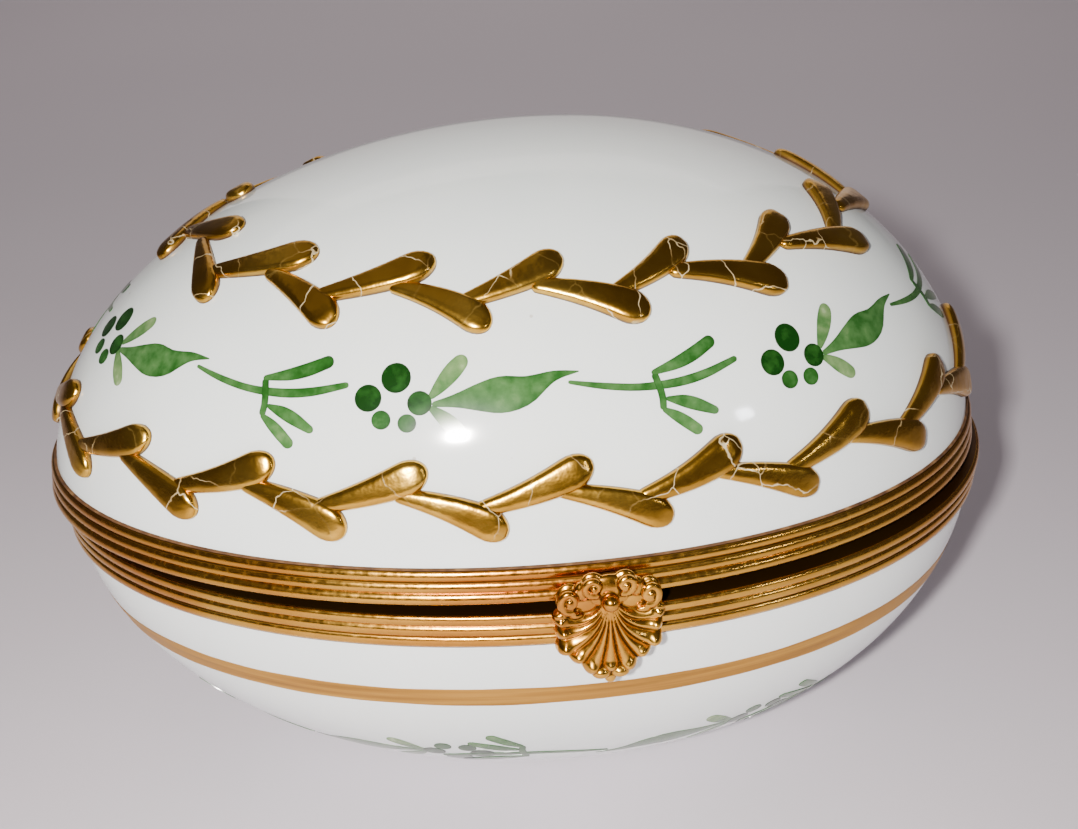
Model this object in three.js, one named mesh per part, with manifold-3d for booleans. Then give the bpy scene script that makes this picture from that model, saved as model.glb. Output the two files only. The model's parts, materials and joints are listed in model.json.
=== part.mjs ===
// An egg-shaped porcelain trinket box that lies on its side and opens along its length.
// Two porcelain halves are rimmed with reeded gilt-brass bezels, hinged at the back and
// closed at the front by a cast scallop clasp that springs over a peg.
//
// Millimetres and degrees. +X is the blunter end, -Y the front, +Z up.
// The origin is the middle of the flat foot.
import * as THREE from 'three';
import { mergeVertices } from 'three/addons/utils/BufferGeometryUtils.js';
import Module from 'manifold-3d';

// Porcelain egg
const halfLength = 44;
const halfWidth = 31.7;
const blunt = 0.05; // how much the +X end is fuller than the -X end
const squareness = 2.05; // exponent of the plan outline, 2 being an ellipse
const wall = 2.6; // porcelain thickness at the rim
const lidHeight = 30.1;
const lidFullness = 2.07; // exponent of the lid's cross-section
const bowlDepth = 28.8; // where the bowl would end without its flat foot
const bowlFullness = 2.36;
const footDepth = 27; // from the meeting plane down to the flat foot
const bowlFloor = 3; // thickness of the bowl over the foot
const rebate = 0.35; // the rims are ground back by this much to take the bezels

// Reeded bezels, each a brass channel that caps a porcelain rim
const lidBezelHeight = 3;
const bowlBezelHeight = 3.2;
const reeds = 3;
const reedDepth = 0.2;
const proudAtMeeting = 0.65; // how far the bezel stands out from the porcelain
const proudAtPorcelain = 0.3;
const bezelPlate = 0.6; // thickness of the flat face where the halves meet
const bezelInside = -0.25; // inner face of the reeded wall
const skirtOutside = -2.75; // inner skirt that grips the inside of the rim
const skirtInside = -3.3;
const skirtHeight = 2;
const bedding = 0.5; // room for cement between the plate and the rim
const fit = 0.05; // gap that fitted pieces keep

// How the lid sits
const closedGap = 0.1;
const ajar = 0.95; // degrees that the lid stands open, its clasp not pressed home
const lidShift = -0.9; // the lid was soldered a little to the left of the bowl

// Hinge
const knuckles = 5;
const hingeLength = 22;
const knuckleRadius = 1.25;
const knuckleBore = 0.65;
const pinRadius = 0.5;
const pinHeadRadius = 0.9;
const pinHead = 0.6;
const knuckleGap = 0.2;
const leafHeight = 1.55; // each hinge leaf's near face, above or below the hinge line
const leafThickness = 1.35;
const leafGap = 0.25;
const hingeY = halfWidth + proudAtMeeting + knuckleRadius + 0.25;
const hingeRise = closedGap / 2; // the hinge line runs midway between the bezels

// Clasp
const claspX = 1.9;
const claspTop = 3.4; // above the lid's meeting face
const hubDrop = 2.7; // from the clasp's top down to its ball
const ribs = 11;
const ribSpread = 160; // degrees covered by the fan of ribs
const fanDown = 6.7; // length of the fan's middle rib
const fanSide = 4.2; // length of its outermost ribs
const claspPlate = 1.1;
const ribSunk = 0.15; // the axis of each rib lies this far below the face of the plate
const claspClear = 0.65; // from the bowl's bezel to the back of the clasp
const padFit = 0.02; // between the clasp's pad and the lid's bezel
const pegRadius = 0.55;
const pegLength = 0.95;
const pegDrop = 1.6; // below the bowl's meeting face
// Room for the peg behind the clasp, its heights taken from the lid's meeting face
const pocket = { half: 1.3, depth: 0.9, low: -4.1, high: -0.6 };

// Raised gilt garlands on the lid, chains of teardrop leaves
const leafHalfWidth = 1.5;
const leafRise = 1.1;
const leafSides = 6;
const glazeGap = 0.06;
const tailSwing = 0.45; // how far a tail starts towards the bulb before it, as a share of swing
const garlands = {
  lid_garland_lower: { leaves: 36, length: 8.4, level: 8.5, swing: 2.5, start: 0.0281 },
  lid_garland_upper: { leaves: 28, length: 8, level: 22.4, swing: 1.95, start: 0.0257 },
};

const aroundEgg = 44;
const turn = Math.PI * 2;
const rad = THREE.MathUtils.degToRad;

const wasm = await Module();
wasm.setup();

// ---- Solids ----

function solid(geometry) {
  const bare = geometry.index ? geometry.clone() : mergeVertices(geometry);
  bare.deleteAttribute('normal');
  bare.deleteAttribute('uv');
  const merged = mergeVertices(bare, 1e-4);
  return new wasm.Manifold(new wasm.Mesh({
    numProp: 3,
    vertProperties: new Float32Array(merged.attributes.position.array),
    triVerts: new Uint32Array(merged.index.array),
  }));
}

function geometryOf(manifold) {
  const mesh = manifold.getMesh();
  const geometry = new THREE.BufferGeometry();
  geometry.setAttribute('position', new THREE.BufferAttribute(mesh.vertProperties, 3));
  geometry.setIndex(new THREE.BufferAttribute(mesh.triVerts, 1));
  return geometry;
}

function joined(geometries) {
  return geometries.map(solid).reduce((whole, piece) => whole.add(piece));
}

function block(low, high) {
  const size = high.map((value, axis) => value - low[axis]);
  const middle = high.map((value, axis) => (value + low[axis]) / 2);
  return new THREE.BoxGeometry(...size).translate(...middle);
}

// A round rod that lies along X
function rod(radius, from, to, sides = 18) {
  const geometry = new THREE.CylinderGeometry(radius, radius, to - from, sides);
  return geometry.rotateZ(-Math.PI / 2).translate((from + to) / 2, 0, 0);
}

// ---- The egg's surface ----

const power = (value, exponent) => Math.sign(value) * Math.abs(value) ** exponent;

// A point on the plan outline, moved out by grow
function outline(angle, grow = 0) {
  const x = (halfLength + grow) * power(Math.cos(angle), 2 / squareness);
  const y = (halfWidth + grow) * power(Math.sin(angle), 2 / squareness);
  return [x, y * (1 + blunt * x / halfLength)];
}

const lidOuter = { grow: 0, height: lidHeight, fullness: lidFullness };
const lidInner = { grow: -wall, height: lidHeight - wall, fullness: lidFullness };
const bowlOuter = { grow: 0, height: bowlDepth, fullness: bowlFullness };
const bowlInner = { grow: -wall, height: footDepth - bowlFloor, fullness: bowlFullness };

// Height of one half's surface over the plan point x, y
function rise(half, x, y) {
  const along = Math.abs(x / (halfLength + half.grow));
  const width = halfWidth + half.grow;
  const halfSpan = width * Math.max(0, 1 - along ** squareness) ** (1 / squareness)
    * (1 + blunt * x / halfLength);
  if (halfSpan <= 0 || Math.abs(y) >= halfSpan) return 0;
  const profile = (1 - Math.abs(y / halfSpan) ** half.fullness) ** (1 / half.fullness);
  return half.height / width * halfSpan * profile;
}

// The value between low and high where test turns from true to false
function edgeOf(test, low = 0, high = 1) {
  for (let step = 0; step < 40; step++) {
    const middle = (low + high) / 2;
    if (test(middle)) low = middle;
    else high = middle;
  }
  return (low + high) / 2;
}

// The surface point at a plan angle and a height above the meeting plane
function onLevel(half, angle, level) {
  const [x, y] = outline(angle, half.grow);
  const share = edgeOf((value) => rise(half, value * x, value * y) > level);
  return [share * x, share * y, level];
}

// ---- Shells and rings turned round the egg ----

const ring = (at) => ({ radius: 1, at });
const pole = (z) => ({ radius: 0, at: () => [0, 0, z] });
const rimRing = (grow, z) => ring((angle) => [...outline(angle, grow), z]);

function levelRing(half, level, side) {
  return ring((angle) => {
    const [x, y, z] = onLevel(half, angle, level);
    return [x, y, side * z];
  });
}

// Rings that follow one half's surface from one height to another
function wallRings(half, from, to, count, side) {
  const start = Math.asin(from / half.height);
  const end = Math.asin(to / half.height);
  return Array.from({ length: count }, (_, index) => {
    const lean = start + (end - start) * index / (count - 1);
    return levelRing(half, half.height * Math.sin(lean), side);
  });
}

// A lathe whose every ring is then laid round the egg
function turned(rings) {
  const profile = rings.map(({ radius }, level) => new THREE.Vector2(radius, level));
  const shell = new THREE.LatheGeometry(profile, aroundEgg);
  const places = shell.attributes.position;
  for (let column = 0; column <= aroundEgg; column++) {
    const angle = (column % aroundEgg) / aroundEgg * turn;
    rings.forEach(({ at }, level) => {
      places.setXYZ(column * rings.length + level, ...at(angle));
    });
  }
  shell.deleteAttribute('normal');
  shell.deleteAttribute('uv');
  return shell;
}

const rimHeight = bezelPlate + bedding;

function bowl() {
  return turned([
    pole(-footDepth),
    ...wallRings(bowlOuter, footDepth, bowlBezelHeight, 9, -1),
    rimRing(-rebate, -bowlBezelHeight),
    rimRing(-rebate, -rimHeight),
    rimRing(-wall, -rimHeight),
    ...wallRings(bowlInner, 4, bowlInner.height * 0.985, 7, -1),
    pole(-bowlInner.height),
  ]);
}

function lidDome() {
  return turned([
    pole(lidInner.height),
    ...wallRings(lidInner, lidInner.height * 0.985, 4, 7, 1),
    rimRing(-wall, rimHeight),
    rimRing(-rebate, rimHeight),
    rimRing(-rebate, lidBezelHeight),
    ...wallRings(lidOuter, lidBezelHeight, lidHeight * 0.985, 9, 1),
    pole(lidHeight),
  ]);
}

// The reeded wall's outline, from the meeting face to the porcelain
function reedPoints(height) {
  const proud = (h) => proudAtMeeting + (proudAtPorcelain - proudAtMeeting) * h / height;
  const points = [];
  for (let reed = 0; reed < reeds; reed++) {
    for (const [across, depth] of [[0, reedDepth], [0.28, 0], [0.72, 0]]) {
      const h = (reed + across) * height / reeds;
      points.push([proud(h) - depth, h]);
    }
  }
  points.push([proudAtPorcelain - reedDepth, height]);
  return points;
}

function bezel(height, side) {
  const section = [
    ...reedPoints(height),
    [bezelInside, height],
    [bezelInside, bezelPlate],
    [skirtOutside, bezelPlate],
    [skirtOutside, skirtHeight],
    [skirtInside, skirtHeight],
    [skirtInside, 0],
  ];
  section.push(section[0]);
  if (side < 0) section.reverse();
  return turned(section.map(([grow, h]) => rimRing(grow, side * h)));
}

// Cement between the bezel's plate and the porcelain rim
function beddingRing(side) {
  const near = bezelPlate + fit;
  const far = rimHeight - fit;
  const outside = -rebate - fit;
  const inside = -wall + fit;
  const section = [[outside, near], [outside, far], [inside, far], [inside, near]];
  section.push(section[0]);
  if (side < 0) section.reverse();
  return turned(section.map(([grow, h]) => rimRing(grow, side * h)));
}

// ---- Garlands ----

// A closed curve round the lid at one height
function levelCurve(level) {
  const points = Array.from({ length: 72 }, (_, index) =>
    new THREE.Vector3(...onLevel(lidOuter, index / 72 * turn, level)));
  return new THREE.CatmullRomCurve3(points, true);
}

// Slides a point along its line from the middle of the meeting plane onto the glaze
function ontoGlaze(point) {
  const share = edgeOf((value) =>
    rise(lidOuter, value * point.x, value * point.y) > value * point.z, 0.5, 1.5);
  return point.clone().multiplyScalar(share);
}

function glazeNormal(point) {
  const step = 0.05;
  const slope = (dx, dy) => rise(lidOuter, point.x + dx, point.y + dy)
    - rise(lidOuter, point.x - dx, point.y - dy);
  return new THREE.Vector3(-slope(step, 0), -slope(0, step), 2 * step).normalize();
}

// Half width of a leaf at a share of its length, narrow at the tail and round at the bulb
const teardrop = (share) => Math.sin(Math.PI * share ** 2.6) ** 0.65;

// One raised leaf from tail to tip, a sphere drawn out along the glaze
function gildedLeaf(tail, tip) {
  const along = tip.clone().sub(tail);
  const up = glazeNormal(ontoGlaze(tail.clone().lerp(tip, 0.5)));
  const across = up.clone().cross(along).normalize();
  const leaf = new THREE.SphereGeometry(1, leafSides, leafSides);
  const places = leaf.attributes.position;
  for (let index = 0; index < places.count; index++) {
    const [x, y, z] = [places.getX(index), places.getY(index), places.getZ(index)];
    const round = Math.hypot(x, z) || 1;
    const share = THREE.MathUtils.clamp((1 - y) / 2, 0, 1);
    const spread = teardrop(share);
    const flat = tail.clone().addScaledVector(along, share)
      .addScaledVector(across, leafHalfWidth * spread * x / round);
    const foot = ontoGlaze(flat);
    const height = glazeGap + Math.max(0, leafRise * spread * z / round);
    foot.addScaledVector(glazeNormal(foot), height);
    places.setXYZ(index, foot.x, foot.y, foot.z);
  }
  return leaf;
}

// Leaves lean up and down by turns, each tail growing out of the bulb before it
function garland({ leaves, length, level, swing, start }) {
  const tips = [-1, 1].map((side) => levelCurve(level + side * swing));
  const tails = [1, -1].map((side) => levelCurve(level + side * swing * tailSwing));
  const reach = length / levelCurve(level).getLength();
  const chain = Array.from({ length: leaves }, (_, index) => {
    const from = start + index / leaves;
    const tail = tails[index % 2].getPointAt(from % 1);
    return gildedLeaf(tail, tips[index % 2].getPointAt((from + reach) % 1));
  });
  return geometryOf(joined(chain));
}

// ---- Hinge ----

const pitch = hingeLength / knuckles;
const knuckleFrom = (index) => -hingeLength / 2 + index * pitch + knuckleGap / 2;
const knuckleTo = (index) => knuckleFrom(index) + pitch - knuckleGap;

// One hinge tube with the foot that joins it to its leaf, centred on the hinge line.
// side is -1 on the bowl and 1 on the lid.
function knuckle(index, side) {
  const [from, to] = [knuckleFrom(index), knuckleTo(index)];
  const near = side * 0.3;
  const far = side * (leafHeight - fit);
  const foot = block([from, -knuckleRadius, Math.min(near, far)], [to, -0.1, Math.max(near, far)]);
  const body = joined([rod(knuckleRadius, from, to), foot]);
  return geometryOf(body.subtract(solid(rod(knuckleBore, from - 1, to + 1))));
}

// A brass leaf between the bezel's curved back and the straight row of knuckles
function hingeLeaf(side, shift) {
  const half = hingeLength / 2;
  const steps = 8;
  const shape = new THREE.Shape([new THREE.Vector2(half, -0.1), new THREE.Vector2(-half, -0.1)]);
  for (let step = 0; step <= steps; step++) {
    const x = -half + step / steps * hingeLength;
    shape.lineTo(x, bezelBack(x - shift) + leafGap - hingeY);
  }
  const low = side > 0 ? leafHeight : -leafHeight - leafThickness;
  const options = { depth: leafThickness, bevelEnabled: false };
  return new THREE.ExtrudeGeometry(shape, options).translate(0, 0, low);
}

// The bezel's outermost line at the back, over a plan x
function bezelBack(x) {
  const along = Math.abs(x / (halfLength + proudAtMeeting));
  return (halfWidth + proudAtMeeting) * (1 - along ** squareness) ** (1 / squareness)
    * (1 + blunt * x / halfLength);
}

// The pin is peened over outside both end knuckles
function hingePin() {
  const end = hingeLength / 2 + 0.1;
  const half = [[0, -end - pinHead], [pinHeadRadius * 0.7, -end - pinHead],
    [pinHeadRadius, -end - pinHead * 0.5], [pinHeadRadius, -end], [pinRadius, -end]];
  const profile = [...half, ...half.map(([radius, x]) => [radius, -x]).reverse()];
  const points = profile.map(([radius, x]) => new THREE.Vector2(radius, x));
  return new THREE.LatheGeometry(points, 12).rotateZ(-Math.PI / 2);
}

// ---- Clasp ----
// Its frame has x to the right, y into the box and z up, from the middle of the top edge
// of its flat back.

const hubZ = -hubDrop;
const ribAngle = (index) => rad(-90 + ribSpread * (index / (ribs - 1) - 0.5));

function ribLength(angle) {
  const down = Math.abs(Math.sin(angle));
  return fanSide + (fanDown - fanSide) * down;
}

// A plate cut to a shape in the x-z plane, with its back at y = 0
function plate(shape, thickness) {
  const options = { depth: thickness, bevelEnabled: false, curveSegments: 9 };
  return new THREE.ExtrudeGeometry(shape, options).rotateX(Math.PI / 2);
}

// The fan's outline, with a round lobe at the end of each rib
function fanShape() {
  const shape = new THREE.Shape([new THREE.Vector2(0, hubZ + 1.5)]);
  const half = rad(ribSpread / (ribs - 1) / 2);
  for (let index = 0; index < ribs; index++) {
    const angle = ribAngle(index);
    const length = ribLength(angle);
    for (const [turnBy, share] of [[-half, 0.93], [-half / 2, 1], [half / 2, 1], [half, 0.93]]) {
      const reach = length * share - 0.2;
      shape.lineTo(reach * Math.cos(angle + turnBy), hubZ + reach * Math.sin(angle + turnBy));
    }
  }
  return shape;
}

function rib(index) {
  const angle = ribAngle(index);
  const length = ribLength(angle) * 0.97;
  const cone = new THREE.CylinderGeometry(0.2, 0.62, length, 5);
  cone.translate(0, -length / 2, 0).scale(1, 1, 0.8);
  cone.rotateX(Math.PI / 2).rotateY(-(angle + Math.PI / 2));
  return cone.translate(0, ribSunk - claspPlate, hubZ);
}

function ball(radius, x, y, z) {
  return new THREE.SphereGeometry(radius, 8, 5).translate(x, y, z);
}

function scroll(radius, x, z) {
  const curl = new THREE.TorusGeometry(radius, radius * 0.42, 5, 9).rotateX(Math.PI / 2);
  return [curl.translate(x, -claspPlate, z), ball(radius * 0.3, x, -claspPlate, z)];
}

function claspShell() {
  const crest = new THREE.Shape();
  crest.absellipse(0, -2, 3.9, 1.9, 0, turn);
  const pieces = [plate(fanShape(), claspPlate), plate(crest, claspPlate)];
  for (let index = 0; index < ribs; index++) pieces.push(rib(index));
  for (const side of [-1, 1]) {
    pieces.push(...scroll(0.9, side * 1.35, -1.15));
    pieces.push(...scroll(0.95, side * 3.25, -2.45));
  }
  pieces.push(ball(0.75, 0, -claspPlate - 0.45, hubZ));
  pieces.push(ball(0.75, 0, -claspPlate * 0.6, hubZ - fanDown - 0.2));
  const front = joined(pieces).subtract(solid(block([-9, 0, -14], [9, 4, 3])));
  const low = pocket.low - claspTop;
  const high = pocket.high - claspTop;
  const hollow = block([-pocket.half, -pocket.depth, low], [pocket.half, 1, high]);
  return geometryOf(front.subtract(solid(hollow)));
}

// ---- Materials ----

function finish(color, roughness, metalness) {
  return () => new THREE.MeshStandardMaterial({ color, roughness, metalness });
}
const porcelain = finish(0xe3e7e8, 0.12, 0);
const giltBrass = finish(0xcf9a3c, 0.28, 1);
const raisedGilding = finish(0xa9832f, 0.25, 1);
const cement = finish(0xd9d2c4, 0.9, 0);

function named(name, geometry, material) {
  const mesh = new THREE.Mesh(geometry, material());
  mesh.name = name;
  return mesh;
}

// ---- Assembly ----

const group = new THREE.Group();

const bowlGroup = new THREE.Group();
bowlGroup.position.z = footDepth;
bowlGroup.add(named('bowl_porcelain', bowl(), porcelain));
bowlGroup.add(named('bowl_bezel', bezel(bowlBezelHeight, -1), giltBrass));
bowlGroup.add(named('bowl_bedding', beddingRing(-1), cement));
group.add(bowlGroup);

// The hinge line, straight across the back
const bowlHinge = new THREE.Group();
bowlHinge.position.set(0, hingeY, footDepth + hingeRise);
bowlHinge.add(named('bowl_hinge_leaf', hingeLeaf(-1, 0), giltBrass));
bowlHinge.add(named('hinge_pin', hingePin(), giltBrass));
group.add(bowlHinge);

// Everything on the lid turns about the hinge line
const lidOnHinge = new THREE.Group();
lidOnHinge.position.copy(bowlHinge.position);
lidOnHinge.rotation.x = rad(-ajar);
lidOnHinge.add(named('lid_hinge_leaf', hingeLeaf(1, lidShift), giltBrass));
group.add(lidOnHinge);

for (let index = 0; index < knuckles; index++) {
  const onLid = index % 2 === 1;
  const name = `${onLid ? 'lid' : 'bowl'}_hinge_knuckle_${index + 1}`;
  const tube = named(name, knuckle(index, onLid ? 1 : -1), giltBrass);
  (onLid ? lidOnHinge : bowlHinge).add(tube);
}

const lidGroup = new THREE.Group();
lidGroup.position.set(lidShift, -hingeY, closedGap - hingeRise);
lidGroup.add(named('lid_porcelain', lidDome(), porcelain));
lidGroup.add(named('lid_bezel', bezel(lidBezelHeight, 1), giltBrass));
lidGroup.add(named('lid_bedding', beddingRing(1), cement));
for (const [name, chain] of Object.entries(garlands)) {
  lidGroup.add(named(name, garland(chain), raisedGilding));
}
lidOnHinge.add(lidGroup);

// The clasp hangs from a pad on the lid's bezel and laps over the bowl's bezel
const bowlFront = -bezelBack(claspX);
const claspBack = bowlFront - claspClear;
const claspGroup = new THREE.Group();
claspGroup.position.set(claspX - lidShift, claspBack, claspTop);
claspGroup.add(named('clasp_shell', claspShell(), giltBrass));
lidGroup.add(claspGroup);

const lidFront = bowlFront - padFit;
const padLow = [claspX - lidShift - 2.5, claspBack + 0.3, 0.4];
const padHigh = [claspX - lidShift + 2.5, lidFront, 2.7];
lidGroup.add(named('clasp_pad', block(padLow, padHigh), giltBrass));

const peg = new THREE.CylinderGeometry(pegRadius, pegRadius, pegLength, 16);
peg.translate(claspX, bowlFront - fit - pegLength / 2, -pegDrop);
bowlGroup.add(named('catch_peg', peg, giltBrass));

export default group;
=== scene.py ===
import json
import math
import random

import bpy
import numpy as np
from mathutils import Matrix, Vector


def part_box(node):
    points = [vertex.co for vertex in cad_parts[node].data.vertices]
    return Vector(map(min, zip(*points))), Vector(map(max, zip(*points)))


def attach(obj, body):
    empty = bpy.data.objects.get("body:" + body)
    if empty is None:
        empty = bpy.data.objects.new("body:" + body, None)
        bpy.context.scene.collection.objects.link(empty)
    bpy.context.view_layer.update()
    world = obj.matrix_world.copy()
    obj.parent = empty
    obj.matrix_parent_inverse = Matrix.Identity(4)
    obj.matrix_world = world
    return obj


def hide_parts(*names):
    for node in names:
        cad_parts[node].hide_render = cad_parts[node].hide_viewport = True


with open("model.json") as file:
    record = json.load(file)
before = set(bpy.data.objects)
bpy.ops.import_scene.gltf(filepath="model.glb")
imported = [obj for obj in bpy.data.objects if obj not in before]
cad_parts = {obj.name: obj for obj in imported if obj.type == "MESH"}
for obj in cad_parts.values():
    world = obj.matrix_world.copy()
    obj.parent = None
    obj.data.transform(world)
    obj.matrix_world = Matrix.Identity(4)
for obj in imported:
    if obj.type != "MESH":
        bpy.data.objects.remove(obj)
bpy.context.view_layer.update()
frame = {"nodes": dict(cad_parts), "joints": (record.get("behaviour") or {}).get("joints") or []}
bpy.ops.object.select_all(action="DESELECT")
mm = 0.001


# ---- Porcelain bowl ----
# The lower half of an egg that lies on its side. It is hard-paste porcelain, slip-cast about
# 2.6 mm thick, glazed, and ground back round the rim to take the bezel. It stands on a ring
# that is left bare of glaze.

reeds_stand_out = 0.617 * mm
bezel_low, bezel_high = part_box("bowl_bezel")
meeting = bezel_high.z
half_length = bezel_high.x - reeds_stand_out
half_width = -bezel_low.y - reeds_stand_out
blunt = 0.05  # how much the +X end is fuller
squareness = 2.05
wall = 2.6 * mm
rim_level = 1.1 * mm
ground_off = 0.42 * mm
bowl_form = {"side": -1, "height": 28.8 * mm, "fullness": 2.36, "bezel": 3.2 * mm}
foot_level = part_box("bowl_porcelain")[0].z - meeting
foot_ring = 1.7 * mm
foot_hollow = 0.35 * mm
floor_thickness = 2 * mm
shortest_edge = 0.22 * mm  # a cut leaves shorter ones, which are closed up
edge_round = 0.3 * mm


def places_of(piece):
    """A mesh's vertices as rows of x, y, z."""
    places = np.empty(len(piece.data.vertices) * 3)
    piece.data.vertices.foreach_get("co", places)
    return places.reshape(-1, 3)


def move_to(piece, places):
    """Puts a mesh's vertices at the rows given."""
    piece.data.vertices.foreach_set("co", places.ravel())
    piece.data.update()


def half_span(x):
    """Half the egg's width at x."""
    along = np.clip(np.abs(x) / half_length, 0, 1)
    taper = 1 + blunt * x / half_length
    return half_width * (1 - along ** squareness) ** (1 / squareness) * taper


def beyond_glaze(form, places):
    """More than 0 for a place outside one half's glaze, and less inside it."""
    fullness = form["fullness"]
    across = np.abs(places[:, 1]) ** fullness
    up = np.abs(places[:, 2] * half_width / form["height"]) ** fullness
    return (across + up) ** (1 / fullness) - half_span(places[:, 0])


def onto_glaze(form, places, slide=(1, 1, 1)):
    """Slides places in or out from the egg's middle onto the glaze, along the axes in slide."""
    axes = np.array(slide)
    low = np.full(len(places), 0.3)
    high = np.full(len(places), 1.7)
    for _ in range(32):
        share = (low + high) / 2
        inside = beyond_glaze(form, places * (1 + (share[:, None] - 1) * axes)) < 0
        low = np.where(inside, share, low)
        high = np.where(inside, high, share)
    return places * (1 + (low[:, None] - 1) * axes)


def glaze_normals(form, places):
    """The way out of the glaze at each place."""
    slopes = []
    for step in np.eye(3) * 0.02 * mm:
        slopes.append(beyond_glaze(form, places + step) - beyond_glaze(form, places - step))
    normals = np.stack(slopes, axis=1)
    return normals / np.linalg.norm(normals, axis=1, keepdims=True)


def shape_with(piece, kind, **settings):
    """Adds a modifier and applies it."""
    bpy.context.view_layer.objects.active = piece
    modifier = piece.modifiers.new(kind.lower(), kind)
    for name, value in settings.items():
        setattr(modifier, name, value)
    bpy.ops.object.modifier_apply(modifier=modifier.name)


def pick(piece):
    """Selects one piece alone and makes it the active one."""
    bpy.ops.object.select_all(action="DESELECT")
    piece.select_set(True)
    bpy.context.view_layer.objects.active = piece


def edit_all():
    """Enters edit mode with the whole piece selected."""
    bpy.ops.object.mode_set(mode="EDIT")
    bpy.ops.mesh.select_all(action="SELECT")


def select_faces(piece, wanted):
    """Enters edit mode with only the faces selected whose middle and normal are wanted."""
    bpy.ops.object.mode_set(mode="EDIT")
    bpy.ops.mesh.select_mode(type="FACE")
    bpy.ops.mesh.select_all(action="DESELECT")
    bpy.ops.object.mode_set(mode="OBJECT")
    for face in piece.data.polygons:
        face.select = bool(wanted(face.center, face.normal))
    bpy.ops.object.mode_set(mode="EDIT")


def half_egg(name, form):
    """A shell with a wall: a ball pressed into the egg's shape and cut off at the rim."""
    side = form["side"]
    bpy.ops.mesh.primitive_uv_sphere_add(segments=192, ring_count=96, radius=1)
    shell = bpy.context.object
    shell.name = name
    bpy.ops.object.mode_set(mode="EDIT")
    bpy.ops.transform.resize(value=(half_length, half_width, form["height"]))
    bpy.ops.object.mode_set(mode="OBJECT")
    move_to(shell, onto_glaze(form, places_of(shell)))
    edit_all()
    bpy.ops.mesh.bisect(
        plane_co=(0, 0, side * rim_level), plane_no=(0, 0, side), clear_inner=True
    )
    bpy.ops.object.mode_set(mode="OBJECT")
    shape_with(shell, "SOLIDIFY", thickness=wall, offset=-1, use_even_offset=True)
    return shell


def finish_porcelain(shell, form):
    """Softens a shell's edges and grinds its rim back outside."""
    shape_with(
        shell, "BEVEL", width=edge_round, segments=3, limit_method="ANGLE",
        angle_limit=math.radians(22),
    )
    ground_to = form["bezel"] - 0.15 * mm
    bpy.ops.object.mode_set(mode="EDIT")
    for level in (ground_to - 0.05 * mm, ground_to + 0.05 * mm):
        bpy.ops.mesh.select_all(action="SELECT")
        bpy.ops.mesh.bisect(plane_co=(0, 0, form["side"] * level), plane_no=(0, 0, 1))
    bpy.ops.object.mode_set(mode="OBJECT")
    places = places_of(shell)
    rim = (np.abs(places[:, 2]) < ground_to) & (beyond_glaze(form, places) > -0.8 * mm)
    shrunk = places * (1 - ground_off / np.array([half_length, half_width, math.inf]))
    move_to(shell, np.where(rim[:, None], shrunk, places))
    pick(shell)
    bpy.ops.object.shade_smooth_by_angle(angle=math.radians(35))
    shape_with(shell, "WEIGHTED_NORMAL", keep_sharp=True)
    shell.select_set(False)


def stand_on_bowl(piece):
    """Moves a mesh made round the egg's middle to the bowl's place."""
    piece.data.transform(Matrix.Translation((0, 0, meeting)))


bowl = half_egg("porcelain_bowl", bowl_form)
places = places_of(bowl)
lining = beyond_glaze(bowl_form, places) < -wall / 2
lowest = np.where(lining, foot_level + foot_hollow + floor_thickness, -math.inf)
places[:, 2] = np.maximum(places[:, 2], lowest)
move_to(bowl, places)
edit_all()
bpy.ops.mesh.bisect(
    plane_co=(0, 0, foot_level), plane_no=(0, 0, 1), use_fill=True, clear_inner=True
)
bpy.ops.object.mode_set(mode="OBJECT")
places = places_of(bowl)
places[:, 2] = np.where(places[:, 2] < foot_level + 0.2 * mm, foot_level, places[:, 2])
move_to(bowl, places)
select_faces(bowl, lambda middle, normal: middle.z < foot_level + mm)
bpy.ops.mesh.remove_doubles(threshold=shortest_edge)
bpy.ops.mesh.select_all(action="SELECT")
bpy.ops.mesh.normals_make_consistent(inside=False)
bpy.ops.object.mode_set(mode="OBJECT")
select_faces(bowl, lambda middle, normal: middle.z < foot_level + 0.01 * mm)
bpy.ops.mesh.dissolve_limited(angle_limit=math.radians(1))
bpy.ops.mesh.inset(thickness=foot_ring)
bpy.ops.transform.translate(value=(0, 0, foot_hollow))
bpy.ops.object.mode_set(mode="OBJECT")
finish_porcelain(bowl, bowl_form)
stand_on_bowl(bowl)


def from_hex(text):
    """An sRGB hex colour as linear red, green, blue and alpha."""
    channels = [int(text[start:start + 2], 16) / 255 for start in (1, 3, 5)]
    linear = [c / 12.92 if c <= 0.04045 else ((c + 0.055) / 1.055) ** 2.4 for c in channels]
    return (*linear, 1)


def add_node(tree, kind, inputs, **settings):
    """Adds a node, with its settings, and a value or a link for each input named."""
    node = tree.nodes.new(kind)
    stops = settings.pop("stops", None)
    for name, value in settings.items():
        setattr(node, name, value)
    if stops:
        for place, _ in stops[1:-1]:
            node.color_ramp.elements.new(place)
        for element, (place, colour) in zip(node.color_ramp.elements, stops):
            element.position = place
            element.color = from_hex(colour)
    for name, value in inputs.items():
        if isinstance(value, bpy.types.NodeSocket):
            tree.links.new(value, node.inputs[name])
        else:
            node.inputs[name].default_value = value
    return node


def new_finish(name):
    """A material, its nodes, its shader, and where a point is on the piece."""
    material = bpy.data.materials.new(name)
    material.use_nodes = True
    tree = material.node_tree
    where = add_node(tree, "ShaderNodeTexCoord", {}).outputs["Object"]
    return material, tree, tree.nodes["Principled BSDF"], where


def give(piece, material):
    """Makes a piece of one material."""
    piece.data.materials.clear()
    piece.data.materials.append(material)


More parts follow.
